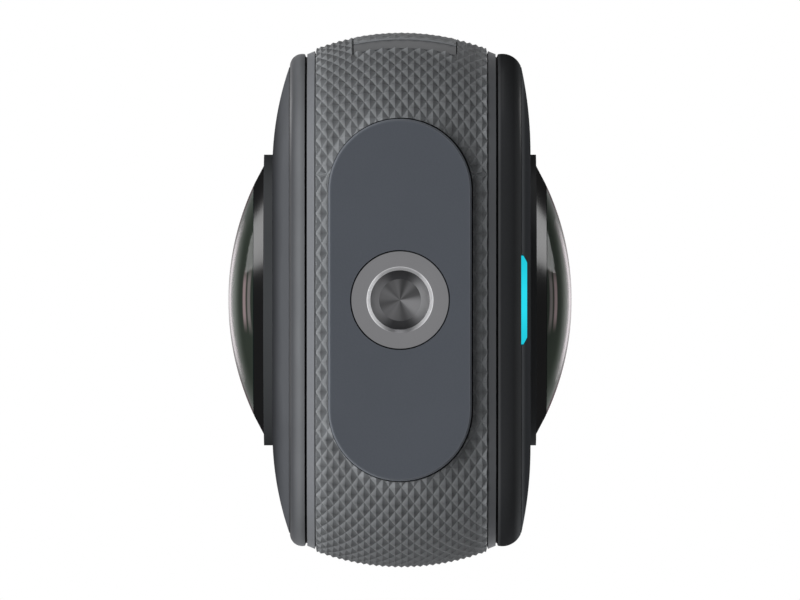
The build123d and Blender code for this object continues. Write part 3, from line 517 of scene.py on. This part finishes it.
finishes = {
    # band, frames and covers
    "frame_plastic": moulded("bandSatin", {"tone": paint(106, 108, 111), "rough": 0.55,
                                          "fixed": {"Specular IOR Level": 0.1}}),
    # the knurl's valleys carry painted shade
    "grip_rubber": moulded("gripRubberPaintedValleyShade", {"tone": paint(110, 112, 114), "rough": 0.62, "grain": 4200,
                                          "paintedValleyShade": 1.1, "fixed": {"Specular IOR Level": 0.2}}),
    "seal_rubber": moulded("sealRubber", {"tone": paint(14, 14, 15), "rough": 0.8,
                                          "fixed": {"Specular IOR Level": 0.05}}),
    "front_shell": moulded("frontShell", {"tone": paint(47, 49, 52), "rough": 0.38, "speck": 0.06,
                                          "depth": 0.002, "polish": (0.004, 0.3),
                                          "fixed": {"Specular IOR Level": 0.0}}),
    "rear_shell": moulded("rearShell", {"tone": paint(38, 39, 42), "rough": 0.42, "speck": 0.08,
                                        "depth": 0.003, "polish": (0.004, 0.35),
                                        "fixed": {"Specular IOR Level": 0.0}}),
    "foot_paint": moulded("footPaintWearAndHighlight", {"tone": paint(84, 88, 95), "rough": 0.6, "speck": 0.1,
                                        "wearAndPaintedLightTone": paint(120, 124, 130),
                                        "fixed": {"Specular IOR Level": 0.1}}, footEdgeWearAndHighlight),
    # inside
    "cell_wrap": moulded("caseBlack", {"tone": paint(38, 39, 41), "rough": 0.5}),
    "cell_foil": machined("cellFoil", {"tone": paint(175, 176, 180), "rough": 0.35, "rings": 1.5}),
    "contact_gold": machined("contactGold", {"tone": paint(232, 190, 96), "rough": 0.25}),
    "board_green": moulded("boardGreen", {"tone": paint(22, 74, 48), "rough": 0.35, "cloud": 900,
                                          "drift": 0.4, "fixed": {"Coat Weight": 0.4}}),
    "cast_alloy": moulded("castAlloy", {"tone": paint(150, 151, 154), "rough": 0.48, "grain": 2600,
                                        "speck": 0.22, "fixed": {"Metallic": 0.85}}),
    "spring_steel": machined("springSteel", {"tone": paint(190, 192, 196), "rough": 0.22}),
    "button_plastic": moulded("buttonSatin", {"tone": paint(70, 72, 75), "rough": 0.45, "speck": 0.08,
                                              "depth": 0.003}),
    "switch_plastic": moulded("switchBlack", {"tone": paint(30, 30, 32), "rough": 0.55}),
    "display_black": moulded("displayBlack", {"tone": paint(10, 11, 13), "rough": 0.15, "speck": 0.02,
                                              "depth": 0.0003, "fixed": {"Specular IOR Level": 0.5}}),
    "lamp": moulded("lampAmber", {"tone": paint(235, 226, 150), "rough": 0.3}),
    # lenses
    "lens_ring_black": machined("lensRingBlack", {
        "tone": paint(75, 77, 79), "rough": 0.4, "ringDepth": 0.003, "rings": 14, "polish": (0.004, 0.3),
        "fixed": {"Metallic": 0.0, "Specular IOR Level": 0.0}}, (0, lensHeight), False),
    "bezel_gloss": machined("bezelGloss", {
        "tone": paint(8, 8, 9), "rough": 0.2, "ringDepth": 0.0008, "rings": 6, "polish": (0.008, 0.16),
        "fixed": {"Metallic": 0.0, "Specular IOR Level": 0.0}}, (0, lensHeight), False),
    "barrel_black": machined("barrelBlack", {
        "tone": paint(9, 9, 10), "rough": 0.6, "ringDepth": 0.006, "rings": 10,
        "fixed": {"Metallic": 0.0, "Specular IOR Level": 0.02}}, (0, lensHeight), False),
    "lens_glass": glazed("clearGlass", {"fixed": {**glazing["fixed"], "Specular IOR Level": 0.2}}),
}


screen = {"height": 52.0, "window": (13.4, 13.5), "lit": paint(17, 18, 21)}


def screenTone(finish, tone, radius, x, y, z):
    # the lit part of the screen stands out faintly from its printed border
    return finish.blend(1 - finish.smooth(radius, *screen["window"]), tone, screen["lit"])


finishes["screen_glass"] = machined("screenGlass", {
    "tone": paint(6, 6, 7), "rough": 0.06, "spread": 0.03, "rings": 2, "ringDepth": 0.0002, "drift": 0.05,
    "speck": 0.02, "fixed": {"Specular IOR Level": 0.5}}, (0, screen["height"]), False, screenTone)


guide = {
    "edge": paint(35, 202, 222), "core": paint(42, 220, 240), "reach": (0.4, 3.6), "base": 0.01,
    "milk": 900, "milkShare": 0.5, "rough": 0.35, "spread": 0.1, "depth": 0.002,
}


def lightGuide():
    # cyan light guide, a little brighter over its lamp
    finish = Finish("lightGuideCyan")
    x, y, z = finish.axes()
    milk = finish.noise(guide["milk"], 3)
    core = (1 - finish.smooth(abs(x), *guide["reach"])) \
        * ((1 - guide["milkShare"] / 2) + milk * guide["milkShare"])
    glow = finish.blend(core, guide["edge"], guide["core"])
    return finish.close(finish.shaded(glow, guide["base"]), guide["rough"] + milk * guide["spread"],
                        finish.bumped(milk, guide["depth"]),
                        {"Emission Color": glow, "Emission Strength": 1.0, "Specular IOR Level": 0.0})


finishes["light_guide"] = lightGuide()


steel = {
    # radii and depths at which the chamfer, the thread and the floor begin and end
    "chamferIn": (2.5, 2.56), "chamferOut": (2.84, 2.88), "chamferDeep": (0.5, 0.6),
    "threadDeep": (0.55, 1.1), "floorDeep": (6.6, 6.75),
    # painted highlights and shade: tones from dark to bright, and the directions over which they change
    "chamfer": (paint(118, 118, 120), paint(244, 244, 246)),
    "glintSides": (0.2, 0.9), "glintEnd": (-0.9, 0.2), "glintShare": 0.55,
    "thread": (paint(66, 66, 68), paint(126, 126, 128), paint(160, 160, 162)),
    "threadSides": (0.25, 0.95), "threadGlint": (0.5, 0.98),
    "floor": (paint(66, 66, 67), paint(122, 122, 124), paint(150, 150, 152)),
    "sectors": 1.1, "sheen": (0.3, 0.75),
    "streak": (0.75, 0.95), "streakAim": (0.9, 0.3), "streakShare": 0.7,
}


def socketPaintedLight(finish, tone, radius, x, y, z):
    # painted light: a painted highlight on the chamfer but at one end, painted shade on the thread at
    # both ends with a lighter side, and a painted turned sheen in sectors with a painted streak on the
    # floor
    def part(length):
        return finish.node("ShaderNodeMath", {"operation": "DIVIDE"}, [length, radius.over(0.01)])

    across, along = part(y), part(x)
    chamfer = finish.smooth(radius, *steel["chamferIn"]) \
        * (1 - finish.smooth(radius, *steel["chamferOut"])) \
        * (1 - finish.smooth(z, *steel["chamferDeep"]))
    glint = finish.smooth(abs(across), *steel["glintSides"]).over(
        (1 - finish.smooth(along, *steel["glintEnd"])) * steel["glintShare"])
    bright = finish.blend(glint, *steel["chamfer"])
    dark, middle, light = steel["thread"]
    thread = finish.blend(finish.smooth(abs(across), *steel["threadSides"]), dark, middle)
    thread = finish.blend(finish.smooth(0 - across, *steel["threadGlint"]), thread, light)
    tone = finish.blend(finish.smooth(z, *steel["threadDeep"]), tone, thread)
    turn = finish.noise(1.0, 1, finish.joinAxes(across * steel["sectors"], along * steel["sectors"], 0.0))
    dark, middle, light = steel["floor"]
    sheen = finish.blend(finish.smooth(turn, *steel["sheen"]), dark, middle)
    streak = finish.smooth(0 - across * steel["streakAim"][0] + along * steel["streakAim"][1],
                           *steel["streak"])
    sheen = finish.blend(streak * steel["streakShare"], sheen, light)
    tone = finish.blend(finish.smooth(z, *steel["floorDeep"]), tone, sheen)
    return finish.blend(chamfer, tone, bright)


finishes["socket_steel"] = machined("socketSteelPaintedGlints", {
    "tone": paint(122, 122, 124), "rough": 0.34, "spread": 0.12, "rings": 16, "ringDepth": 0.003},
    shadeBy=socketPaintedLight)
print("finishes ready")

special = {
    # rear panel with a painted highlight towards the frame
    "rear_panel": moulded("rearPanelSatinPaintedHighlight", {
        "tone": paint(35, 36, 39), "rough": 0.42, "speck": 0.08, "depth": 0.003, "polish": (0.004, 0.35),
        "wearAndPaintedLight": 1.0, "wearAndPaintedLightTone": paint(84, 86, 90), "fixed": {"Specular IOR Level": 0.0}}, rearPanelHighlight),
    # band rims with painted shade on the front side
    "mid_frame": moulded("midFrameSatinPaintedShade", {
        "tone": paint(126, 128, 132), "rough": 0.55, "wearAndPaintedLight": 1.0, "wearAndPaintedLightTone": paint(104, 106, 109),
        "fixed": {"Specular IOR Level": 0.1}}, frontSideShade),
    # rear frame painted lighter on its flat and darker on its rounding, with a painted shadow in the seam
    # by the panel
    "rear_frame": moulded("rearFrameSatinPaintedLight", {
        "tone": paint(68, 69, 72), "rough": 0.5, "wearAndPaintedLight": 1.0, "wearAndPaintedLightTone": paint(122, 124, 127),
        "fixed": {"Specular IOR Level": 0.02}}, rearFrameLitFlat, rearSeamShadow),
    # front frame with painted edge highlights
    "front_frame": moulded("frontFrameSatinPaintedHighlight", {
        "tone": paint(50, 51, 53), "rough": 0.5, "wearAndPaintedLight": 0.5, "wearAndPaintedLightTone": paint(106, 108, 110),
        "polish": (0.004, 0.3), "fixed": {"Specular IOR Level": 0.0}}, frontFrameHighlights),
    # front panel with a painted edge highlight
    "front_panel": moulded("frontPanelGlossPaintedHighlight", {
        "tone": paint(47, 49, 52), "rough": 0.38, "speck": 0.06, "depth": 0.002, "polish": (0.004, 0.3),
        "wearAndPaintedLight": 1.0, "wearAndPaintedLightTone": paint(82, 84, 87), "fixed": {"Specular IOR Level": 0.0}}, frontPanelHighlight),
}
ordinary = {part["node"]: part["material_slot"] for part in frame["record"]["subparts"]}
for name, node in nodes.items():
    dressed(node, special.get(name) or finishes[ordinary[name]])

# Knurled skin of the band: rhombic pyramids round the whole side
band = {
    "halfWidth": 23.1, "low": 0.3, "high": 113.0, "corner": 12.6, "crown": 20.75,
    "front": -7.6, "rear": 7.35,
    "around": 174, "across": 14,     # pyramids along and across the band
    "pyramid": 0.26, "latchPyramid": 0.1, "skin": 0.45,
    "cornerPull": 0.5523, "straightPull": 3.0,      # handles of the outline: share of the corner, length
}


def crestPath():
    # the band's outline as a flat path, started at the middle of its foot
    corner, wide, low, high = band["corner"], band["halfWidth"], band["low"], band["high"]
    x, reach, run = wide - corner, corner * band["cornerPull"], band["straightPull"]
    spots = [((x, low), (-run, 0), (reach, 0)), ((wide, low + corner), (0, -reach), (0, run)),
             ((wide, high - corner), (0, -run), (0, reach)), ((x, high), (reach, 0), (-run, 0)),
             ((-x, high), (run, 0), (-reach, 0)), ((-wide, high - corner), (0, reach), (0, -run)),
             ((-wide, low + corner), (0, run), (0, -reach)), ((-x, low), (-reach, 0), (run, 0))]
    spots.insert(0, ((0, low), (-run, 0), (run, 0)))
    curve = bpy.data.curves.new("crestPath", "CURVE")
    curve.dimensions = "2D"
    curve.resolution_u = 64
    curve.use_stretch = True
    curve.use_deform_bounds = True
    spline = curve.splines.new("BEZIER")
    spline.bezier_points.add(len(spots) - 1)
    spline.use_cyclic_u = True
    for point, (spot, back, ahead) in zip(spline.bezier_points, spots):
        point.handle_left_type = point.handle_right_type = "FREE"
        point.co = placed((*spot, 0))
        point.handle_left = placed((spot[0] + back[0], spot[1] + back[1], 0))
        point.handle_right = placed((spot[0] + ahead[0], spot[1] + ahead[1], 0))
    path = bpy.data.objects.new("crestPath", curve)
    bpy.context.scene.collection.objects.link(path)
    return path


def bandStrip(name, height):
    # a flat strip with pyramids of this height, crowned, led round the outline and given its thickness
    straight = 4 * (band["halfWidth"] - band["corner"]) \
        + 2 * (band["high"] - band["low"] - 2 * band["corner"])
    length = straight + 2 * pi * band["corner"]
    halfChord = (band["rear"] - band["front"]) / 2
    width = 2 * asin(halfChord / band["crown"]) * band["crown"]
    bpy.ops.mesh.primitive_grid_add(x_subdivisions=band["around"], y_subdivisions=band["across"],
                                    size=1, rotation=(-pi / 2, 0, 0))
    strip = named(name)
    editAll("FACE")
    bpy.ops.transform.resize(value=(length * mm, 1, width * mm), center_override=(0, 0, 0))
    bpy.ops.transform.translate(value=placed((length / 2, -height, 0)))
    bpy.ops.mesh.poke()
    tiny = mm * mm
    editPicked(strip, "EDGE", lambda a, b: abs(a.x - b.x) < tiny or abs(a.z - b.z) < tiny)
    bpy.ops.mesh.dissolve_edges(use_verts=False)    # leaves a rhombus round each old edge
    editAll("FACE")
    bpy.ops.mesh.poke(offset=height * mm, center_mode="MEDIAN")
    objectMode()
    applied(strip, "SIMPLE_DEFORM", deform_method="BEND", deform_axis="X", angle=-width / band["crown"])
    path = crestPath()
    applied(strip, "CURVE", object=path, deform_axis="POS_X")
    bpy.data.objects.remove(path)
    moved(strip, (0, (band["front"] + band["rear"]) / 2, 0), (pi / 2, 0, 0))
    editAll()
    bpy.ops.mesh.remove_doubles(threshold=0.03 * mm)
    objectMode()
    return applied(strip, "SOLIDIFY", thickness=band["skin"] * mm, offset=-1)


openings = {
    # tools reach from the outside to the inside of the skin on the latch's side
    "outside": -26.0, "inside": -16.0, "otherSide": 22, "top": 112, "tool": 10,
    "foot": (31.3, 12.45), "footShift": -0.045, "footTop": 6.9,
    "latchSides": (-4.94, 4.1), "latch": (7.43, 14.52),
    "doorHalf": 5.5, "door": (49.9, 65.6), "knuckleHalf": 3.5, "knuckle": (50.9, 68.1),
    "power": (10.2, 4.4), "powerHeight": 58.0,
    "speakerRadius": 0.5, "speakers": (26.0, 28.0, 30.0, 32.0, 34.0),
    "micRadius": 0.45, "mics": (-8.2, 8.2),
}


def sideBlock(name, sides, levels):
    return block(name, (openings["outside"], sides[0], levels[0]),
                 (openings["inside"], sides[1], levels[1]))


def skinOpenings():
    doorHalf, knuckleHalf = openings["doorHalf"], openings["knuckleHalf"]
    long, side, sideways = openings["tool"], openings["otherSide"], (0, pi / 2, 0)
    tools = [
        moved(oblong("footTool", *openings["foot"], long),
              (0, openings["footShift"], openings["footTop"] - long / 2)),
        sideBlock("latchTool", openings["latchSides"], openings["latch"]),
        sideBlock("doorTool", (-doorHalf, doorHalf), openings["door"]),
        sideBlock("knuckleTool", (-knuckleHalf, knuckleHalf), openings["knuckle"]),
        moved(oblong("powerTool", *openings["power"], long),
              (side, 0, openings["powerHeight"]), sideways),
    ]
    tools += [rod("speakerTool", openings["speakerRadius"], long, (side, 0, z), sideways, 24)
              for z in openings["speakers"]]
    tools += [rod("micTool", openings["micRadius"], long, (x, 0, openings["top"]), corners=24)
              for x in openings["mics"]]
    return tools


def copied(piece, name):
    twin = piece.copy()
    twin.data = piece.data.copy()
    twin.name = twin.data.name = name
    bpy.context.scene.collection.objects.link(twin)
    return twin


shell = bandStrip("knurledSkin", band["pyramid"])
knurledDoor = copied(shell, "knurledDoor")
latchKnurl = bandStrip("latchKnurl", band["latchPyramid"])
for tool in skinOpenings():
    combined(shell, tool, "DIFFERENCE")
closed(shell, angle=12)
added(shell, camera, "grip_rubber", finishes["grip_rubber"], "grip_skin")
print("knurled skin", len(shell.data.polygons))

# The charging door carries the same knurling
door = {"half": 5.4, "levels": (50.0, 64.85), "hingeHalf": 3.4, "hingeLevels": (51.0, 66.4)}
doorTool = sideBlock("doorTool", (-door["half"], door["half"]), door["levels"])
hingeTool = sideBlock("hingeTool", (-door["hingeHalf"], door["hingeHalf"]), door["hingeLevels"])
combined(doorTool, hingeTool, "UNION")
combined(knurledDoor, doorTool, "INTERSECT")
closed(knurledDoor, angle=12)
added(knurledDoor, "door", "grip_rubber", finishes["grip_rubber"])
print("knurled door", len(knurledDoor.data.polygons))

# So does the upper part of the latch pad
latch = {"sides": (-4.85, 4.01), "levels": (9.62, 14.36)}
combined(latchKnurl, sideBlock("latchTool", latch["sides"], latch["levels"]), "INTERSECT")
closed(latchKnurl, angle=12)
added(latchKnurl, "latch", "grip_rubber", finishes["grip_rubber"])
print("latch knurling", len(latchKnurl.data.polygons))

# Threaded insert for a tripod screw
socket = {
    "top": 7.7, "flange": 4.25, "face": 0.2, "edge": 0.08, "mouth": 2.82, "bore": 2.55, "chamfer": 0.27,
    "major": 3.1, "pitch": 1.27, "turns": 4, "flat": 0.16,
    "end": 5.9, "drill": 1.8, "floor": 6.85, "dip": 7.0,
}


def socketProfile():
    face, edge, bore = socket["face"], socket["edge"], socket["bore"]
    flange = socket["flange"]
    line = [(flange, socket["top"]), (flange, face + edge), (flange - edge, face)]
    line += [(socket["mouth"], face), (bore, face + socket["chamfer"])]
    flank = socket["pitch"] / 2 - socket["flat"]
    height = face + socket["chamfer"] + socket["flat"]
    for turn in range(socket["turns"]):
        root = height + flank
        line += [(bore, height), (socket["major"], root), (socket["major"], root + socket["flat"]),
                 (bore, root + socket["flat"] + flank)]
        height += socket["pitch"]
    line += [(bore, socket["end"]), (socket["drill"], socket["end"]), (socket["drill"], socket["floor"]),
             (0, socket["dip"])]
    return line


insert = turned("socketInsert", socketProfile(), cap=True)
added(insert, "battery", "socket_steel", finishes["socket_steel"], "tripod_socket")
print("socket insert", len(insert.data.polygons))

# Front elements: thick menisci, painted black on the seat and the edge
dome = {"radius": 10.27, "seat": 12.0, "apex": 15.41, "curve": 24.4,
        "bowl": 6.9, "bowlApex": 13.91, "arcs": 32, "steps": 192, "slack": 0.01}


def bowlLine(edgeRadius, apex, curve, steps):
    # from the rim of a sphere's cap to its apex
    spread = asin(edgeRadius / curve)
    angles = [spread * (steps - index) / steps for index in range(steps + 1)]
    return [(curve * sin(angle), apex - curve * (1 - cos(angle))) for angle in angles]


def frontElement(name, side):
    seat, bowl = dome["seat"], dome["bowl"]
    sag = dome["bowlApex"] - seat
    outside = [(bowl, seat), (dome["radius"], seat)] \
        + bowlLine(dome["radius"], dome["apex"], dome["curve"], dome["arcs"])
    inside = bowlLine(bowl, dome["bowlApex"], (bowl ** 2 + sag ** 2) / (2 * sag), dome["arcs"])
    halves = [turned(name, outside, (0, 0, lensHeight), side, dome["steps"]),
              turned(name + "Bowl", inside, (0, 0, lensHeight), side, dome["steps"])]
    piece = closed(joined(halves), merge=0.004, angle=20)
    added(piece, camera, "lens_glass", domeGlass, name.replace("Dome", "_dome_lens"))
    piece.data.materials.append(edgeBlack)
    level, rim = seat + dome["slack"], dome["radius"] - dome["slack"]

    def painted(*corners):
        flat = all(abs(spot.y) < level * mm for spot in corners)
        return flat or all(hypot(spot.x, spot.z - lensHeight * mm) > rim * mm for spot in corners)

    editPicked(piece, "FACE", painted)
    piece.active_material_index = 1
    bpy.ops.object.material_slot_assign()
    objectMode()


domeGlass = paintedDomeGlass()
edgeBlack = moulded("edgeBlack", {"tone": paint(20, 40, 38), "rough": 0.6,
                                  "fixed": {"Specular IOR Level": 0.0}})
for name, side in (("frontDome", -1), ("rearDome", 1)):
    frontElement(name, side)
print("front elements ready")

# Stepped light baffles round both inner lenses
baffle = {"outer": (9.3, 11.95), "inner": (6.78, 9.96), "steps": 6, "back": 0.16}
for name, side in (("frontBaffle", -1), ("rearBaffle", 1)):
    (outerRadius, outerHeight), (innerRadius, innerHeight) = baffle["outer"], baffle["inner"]
    stepIn = (outerRadius - innerRadius) / baffle["steps"]
    stepDown = (outerHeight - innerHeight) / baffle["steps"]
    line = [baffle["outer"]]
    for index in range(baffle["steps"]):
        radius, height = line[-1]
        line += [(radius - stepIn, height), (radius - stepIn, height - stepDown)]
    line += [(innerRadius + baffle["back"], innerHeight - baffle["back"]),
             (outerRadius + baffle["back"], outerHeight - baffle["back"]), baffle["outer"]]
    piece = turned(name, line, (0, 0, lensHeight), side)
    added(piece, camera, "barrel_black", finishes["barrel_black"])
print("baffles ready")

# Thin bright ring in the shutter button's dish
rim = {"inner": 4.25, "outer": 4.55, "face": 11.12, "foot": 11.0, "round": 0.03, "height": 21.5}
shoulder = rim["face"] - rim["round"]
line = [(rim["inner"], rim["foot"]), (rim["inner"], shoulder), (rim["inner"] + rim["round"], rim["face"]),
        (rim["outer"] - rim["round"], rim["face"]), (rim["outer"], shoulder), (rim["outer"], rim["foot"]),
        (rim["inner"], rim["foot"])]
shutterRim = turned("shutterRim", line, (0, 0, rim["height"]), -1)
added(shutterRim, "shutter", "socket_steel",
      machined("rimSteel", {"tone": paint(150, 152, 156)}, (0, rim["height"]), False))

# Gold contacts on the charging socket's tongue
contact = {"low": (-18.2, 0.33, 54.75), "high": (-15.6, 0.4, 55.0), "pitch": 0.5, "count": 12,
           "round": 0.02}
contacts = block("chargeContacts", contact["low"], contact["high"])
applied(contacts, "BEVEL", width=contact["round"] * mm, segments=2)
applied(contacts, "ARRAY", count=contact["count"], use_relative_offset=False, use_constant_offset=True,
        constant_offset_displace=(0, 0, contact["pitch"] * mm))
applied(contacts, "MIRROR", use_axis=(False, True, False))
closed(contacts)
added(contacts, camera, "contact_gold", finishes["contact_gold"])
print("small pieces ready")

# Studio: white all round for the camera, glass and gloss. A soft key stands low at the rear side and a
# fill above; three more lamps are seen only in glossy surfaces.
studio = {
    "floor": 3.0, "floorLevel": -0.0004, "floorTone": 0.5, "floorGlow": 0.5, "shade": 0.15,
    "paper": 40, "paperSpeck": 0.02,
    "lamps": (
        # place in metres, size, power in watts, whether matt and glossy surfaces see it
        ((0.0, 1.22, -0.9), (1.5, 2.2), 36.5, (True, False)),
        ((0.7, -0.9, 1.6), (1.2, 1.2), 42.0, (True, False)),
        ((-0.4, 1.4, 1.45), (0.45, 0.55), 27.0, (False, True)),
        ((-0.4, -1.4, 1.45), (0.45, 0.55), 27.0, (False, True)),
        ((-1.7, 0.0, 0.05), (0.4, 2.0), 8.0, (False, True)),
    ),
    "aimHeight": 0.05, "lens": 1000.0, "sensor": 36.0, "away": 1.9058,
}


def studioFloor():
    # only camera rays from above see the floor; everything else passes through it
    bpy.ops.mesh.primitive_plane_add(size=2 * studio["floor"], location=(0, 0, studio["floorLevel"]))
    floor = named("studioFloor")
    finish = Finish("studioFloorWhite")
    path = finish.node("ShaderNodeLightPath", {}, {}, "Is Camera Ray")
    behind = finish.node("ShaderNodeNewGeometry", {}, {}, "Backfacing")
    paper = finish.noise(studio["paper"], 3)
    speck = studio["paperSpeck"]
    tone = finish.shaded((studio["floorTone"],) * 3, (1 - speck / 2) + paper * speck)
    matt = finish.node("ShaderNodeBsdfDiffuse", {}, {"Color": tone})
    glow = finish.node("ShaderNodeEmission", {}, {"Color": (1, 1, 1, 1), "Strength": studio["floorGlow"]})
    lit = finish.node("ShaderNodeAddShader", {}, [matt, glow])
    clear = finish.node("ShaderNodeBsdfTransparent", {}, {})
    dressed(floor, finish.ended(finish.mixed(path * (1 - behind), clear, lit)))


def studioWorld():
    world = bpy.data.worlds.new("studioWorld")
    bpy.context.scene.world = world
    world.use_nodes = True
    world.cycles.sampling_method = "NONE"
    tree = world.node_tree
    tree.nodes.clear()
    path = tree.nodes.new("ShaderNodeLightPath")
    seen = None
    for name in ("Is Camera Ray", "Is Glossy Ray", "Is Transmission Ray"):
        if seen is None:
            seen = path.outputs[name]
            continue
        most = tree.nodes.new("ShaderNodeMath")
        most.operation = "MAXIMUM"
        tree.links.new(seen, most.inputs[0])
        tree.links.new(path.outputs[name], most.inputs[1])
        seen = most.outputs[0]
    level = tree.nodes.new("ShaderNodeMapRange")
    level.inputs["To Min"].default_value = studio["shade"]
    level.inputs["To Max"].default_value = 1.0
    tree.links.new(seen, level.inputs["Value"])
    background = tree.nodes.new("ShaderNodeBackground")
    background.inputs["Color"].default_value = (1, 1, 1, 1)
    tree.links.new(level.outputs[0], background.inputs["Strength"])
    output = tree.nodes.new("ShaderNodeOutputWorld")
    tree.links.new(background.outputs[0], output.inputs["Surface"])


def studioLamps():
    for index, (place, size, power, seen) in enumerate(studio["lamps"]):
        light = bpy.data.lights.new("softLamp%d" % index, "AREA")
        light.shape = "RECTANGLE"
        light.size, light.size_y = size
        light.energy = power
        lamp = bpy.data.objects.new(light.name, light)
        lamp.location = place
        aim = Vector((-place[0], -place[1], studio["aimHeight"] - place[2]))
        lamp.rotation_euler = aim.to_track_quat("-Z", "Y").to_euler()
        lamp.visible_camera = False
        lamp.visible_transmission = False
        lamp.visible_diffuse, lamp.visible_glossy = seen
        bpy.context.scene.collection.objects.link(lamp)


def photoCamera():
    data = bpy.data.cameras.new("photoCamera")
    data.lens = studio["lens"]
    data.sensor_width = studio["sensor"]
    eye = bpy.data.objects.new("photoCamera", data)
    eye.location = (0, 0, -studio["away"])
    eye.rotation_euler = (pi, 0, -pi / 2)
    bpy.context.scene.collection.objects.link(eye)
    bpy.context.scene.camera = eye


studioFloor()
studioWorld()
studioLamps()
photoCamera()
bpy.context.scene.view_settings.view_transform = "Standard"
print("studio ready")
